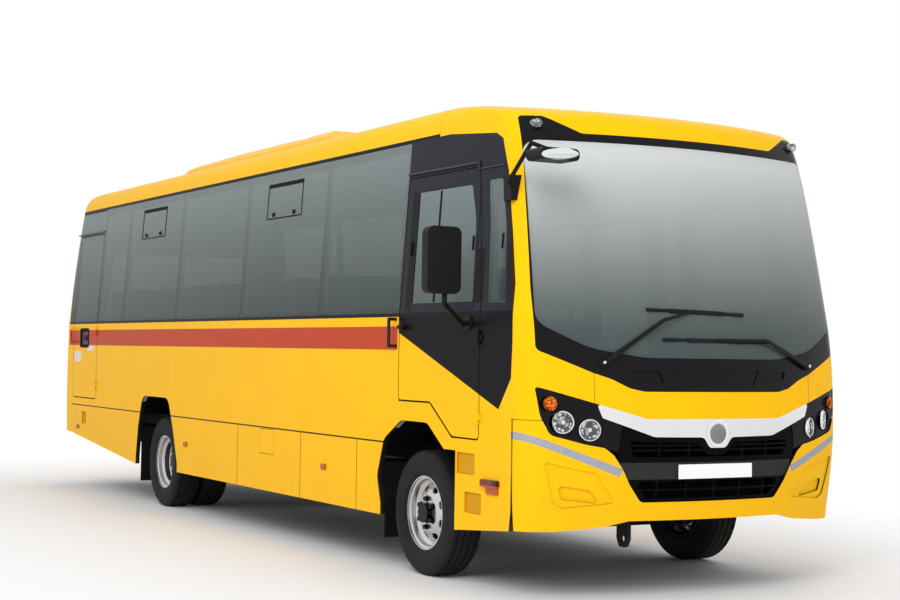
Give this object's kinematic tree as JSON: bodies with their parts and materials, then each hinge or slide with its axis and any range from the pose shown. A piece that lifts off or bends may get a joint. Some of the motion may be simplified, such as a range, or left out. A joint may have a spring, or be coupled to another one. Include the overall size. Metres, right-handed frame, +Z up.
{
  "type": "school bus",
  "caption": "Yellow school bus with a long glazed body, front engine, cab door, side entrance and emergency door, twin rear wheels and a roof unit.",
  "frame": {"origin": "on the ground under the middle of the bus", "axes": "+X forward, +Y to the left side of the bus, +Z up"},
  "size_m": [9.3744, 3.124, 3.1878],
  "materials": {
    "yellow_paint": "gloss",
    "black_paint": "gloss",
    "yellow_plastic": "gloss",
    "tinted_glass": "gloss",
    "clear_glass": "gloss",
    "chrome_trim": "polished",
    "lamp_lens": "gloss",
    "marker_lens": "gloss",
    "grille_plastic": "matte",
    "tyre_rubber": "matte",
    "wheel_paint": "satin",
    "chassis_paint": "satin",
    "spring_steel": "matte",
    "engine_iron": "matte",
    "exhaust_steel": "matte",
    "tank_paint": "satin",
    "flap_rubber": "matte",
    "floor_vinyl": "matte",
    "dash_plastic": "matte",
    "wheel_grip": "matte",
    "driver_cloth": "matte",
    "seat_vinyl": "satin",
    "seat_frame_paint": "satin",
    "rail_steel": "satin",
    "roof_unit_paint": "gloss",
    "mirror_plastic": "matte"
  },
  "bodies": {
    "bus_body": {"chassis_frame": "chassis_paint", "corner_panels": "yellow_paint", "dashboard": "dash_plastic", "driveline": "chassis_paint", "driver_seat": "driver_cloth", "engine_block": "engine_iron", "engine_cover": "dash_plastic", "entrance_steps": "floor_vinyl", "exhaust": "exhaust_steel", "floor": "floor_vinyl", "front_axle": "chassis_paint", "front_bumper": "yellow_plastic", "front_flap": "yellow_plastic", "front_shell": "yellow_paint", "fuel_tank": "tank_paint", "grab_handles": "rail_steel", "grab_rails": "rail_steel", "grille": "grille_plastic", "headlamp_panels": "grille_plastic", "headlamps": "lamp_lens", "leaf_springs": "spring_steel", "marker_lamps": "marker_lens", "mirrors_body": "mirror_plastic", "mud_flaps": "flap_rubber", "rear_axle": "chassis_paint", "rear_wall": "yellow_paint", "roof": "yellow_paint", "roof_unit": "roof_unit_paint", "seat_frames": "seat_frame_paint", "seat_pads_left": "seat_vinyl", "seat_pads_right": "seat_vinyl", "side_wall_left": "yellow_paint", "side_wall_right": "yellow_paint", "skirt_panels": "yellow_paint", "steering_wheel": "wheel_grip", "trim_bar": "chrome_trim", "windows": "tinted_glass", "windscreen": "clear_glass", "windscreen_surround": "black_paint", "wipers": "mirror_plastic"},
    "driver_door": {"driver_door": "yellow_paint", "driver_door_glass": "tinted_glass", "mirror_door": "mirror_plastic"},
    "emergency_door": {"emergency_door": "yellow_paint", "emergency_door_glass": "tinted_glass"},
    "passenger_door": {"passenger_door": "yellow_paint", "passenger_door_glass": "tinted_glass"},
    "knuckle_right": {"knuckle_right": "chassis_paint"},
    "knuckle_left": {"knuckle_left": "chassis_paint"},
    "wheel_front_right": {"wheel_front_right": "wheel_paint", "tyre_front_right": "tyre_rubber"},
    "wheel_front_left": {"wheel_front_left": "wheel_paint", "tyre_front_left": "tyre_rubber"},
    "wheels_rear_right": {"wheels_rear_right": "wheel_paint", "tyres_rear_right": "tyre_rubber"},
    "wheels_rear_left": {"wheels_rear_left": "wheel_paint", "tyres_rear_left": "tyre_rubber"}
  },
  "joints": [
    {"name": "driver_door_hinge", "type": "hinge", "parent": "bus_body", "child": "driver_door", "pos_m": [3.9, -1.2, 1.3], "axis": [0, 0, 1], "range_deg": [0, 75]},
    {"name": "emergency_door_hinge", "type": "hinge", "parent": "bus_body", "child": "emergency_door", "pos_m": [-3.605, -1.2, 1.3], "axis": [0, 0, 1], "range_deg": [0, 85]},
    {"name": "passenger_door_hinge", "type": "hinge", "parent": "bus_body", "child": "passenger_door", "pos_m": [2.535, 1.2, 1.3], "axis": [0, 0, -1], "range_deg": [0, 80]},
    {"name": "steer_right", "type": "hinge", "parent": "bus_body", "child": "knuckle_right", "pos_m": [3.12, -0.8925, 0.4], "axis": [0, 0, 1], "range_deg": [-35, 35]},
    {"name": "steer_left", "type": "hinge", "parent": "bus_body", "child": "knuckle_left", "pos_m": [3.12, 0.8925, 0.4], "axis": [0, 0, 1], "range_deg": [-35, 35]},
    {"name": "spin_front_right", "type": "hinge", "parent": "knuckle_right", "child": "wheel_front_right", "pos_m": [3.12, -1.0225, 0.4], "axis": [0, 1, 0], "continuous": true},
    {"name": "spin_front_left", "type": "hinge", "parent": "knuckle_left", "child": "wheel_front_left", "pos_m": [3.12, 1.0225, 0.4], "axis": [0, 1, 0], "continuous": true},
    {"name": "spin_rear_right", "type": "hinge", "parent": "bus_body", "child": "wheels_rear_right", "pos_m": [-1.8, -1.0045, 0.4], "axis": [0, 1, 0], "continuous": true},
    {"name": "spin_rear_left", "type": "hinge", "parent": "bus_body", "child": "wheels_rear_left", "pos_m": [-1.8, 1.0045, 0.4], "axis": [0, 1, 0], "continuous": true}
  ],
  "couplings": [
    {"joint": "steer_left", "follows": "steer_right", "ratio": 1}
  ]
}
